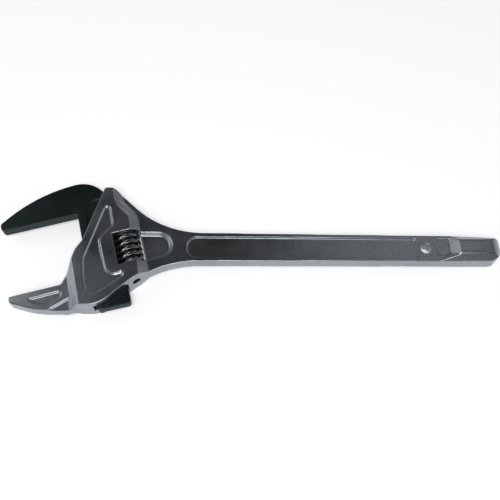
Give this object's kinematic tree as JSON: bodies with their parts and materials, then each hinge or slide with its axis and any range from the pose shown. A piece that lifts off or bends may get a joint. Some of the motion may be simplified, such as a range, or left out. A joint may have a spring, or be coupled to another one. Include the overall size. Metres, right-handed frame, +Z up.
{
  "type": "adjustable wrench",
  "caption": "Long-handled adjustable wrench with slim wide-opening jaws, a sliding rack jaw driven by a thread-cut worm, and a flat sunk-panel handle with a hanging hole.",
  "frame": {"origin": "middle of the whole wrench's box in plan, at the level of the back face it lies on", "axes": "+X along the handle towards its free end, +Z up out of the front face, +Y towards the movable jaw"},
  "size_m": [0.3996, 0.1149, 0.02],
  "materials": {
    "forged_steel": "dark satin plating over fine blasted forging",
    "black_jaw": "black oxide, satin",
    "worm_steel": "dark polished",
    "pin_steel": "dark satin",
    "spring_steel": "bright drawn wire"
  },
  "bodies": {
    "body": {"wrench_body": "forged_steel", "worm_pin": "pin_steel", "worm_spring": "spring_steel"},
    "jaw": {"movable_jaw": "black_jaw"},
    "worm": {"worm": "worm_steel"}
  },
  "joints": [
    {"name": "jaw_slide", "type": "slide", "parent": "body", "child": "jaw", "axis": [-0.2756, 0.9613, 0], "range_m": [-0.0598, 0.0135]},
    {"name": "worm_spin", "type": "hinge", "parent": "body", "child": "worm", "pos_m": [-0.09373, -0.00399, 0.01], "axis": [-0.2756, 0.9613, 0], "range_deg": [-868, 3845]}
  ],
  "couplings": [
    {"joint": "worm_spin", "follows": "jaw_slide", "rad_per_m": -1122}
  ]
}
